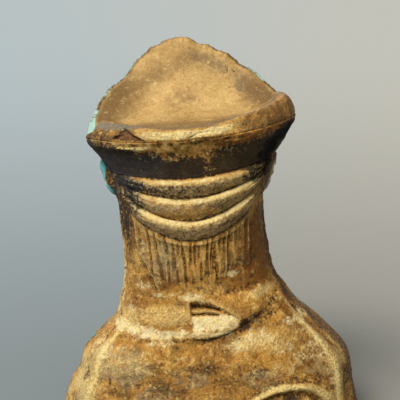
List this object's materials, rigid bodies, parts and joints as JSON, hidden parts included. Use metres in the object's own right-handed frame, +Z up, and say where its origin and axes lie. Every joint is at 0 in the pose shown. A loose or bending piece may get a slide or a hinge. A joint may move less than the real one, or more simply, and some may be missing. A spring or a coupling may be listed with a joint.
{
  "type": "stoneware guanyin bust",
  "caption": "Bust of a crowned guanyin in moulded stoneware, with swags of hair and a rolled collar on its bare back, cut flat below the shoulders.",
  "frame": {"origin": "middle of the flat underside", "axes": "+Z up from the underside to the crown, -Y the way the face looks, +X towards the figure's left shoulder"},
  "size_m": [0.155, 0.0909, 0.1923],
  "materials": {
    "stoneware": "bare fired clay, worn and grimy behind, with turquoise glaze on the front"
  },
  "bodies": {
    "root": {"guanyin_bust": "stoneware"}
  },
  "joints": []
}
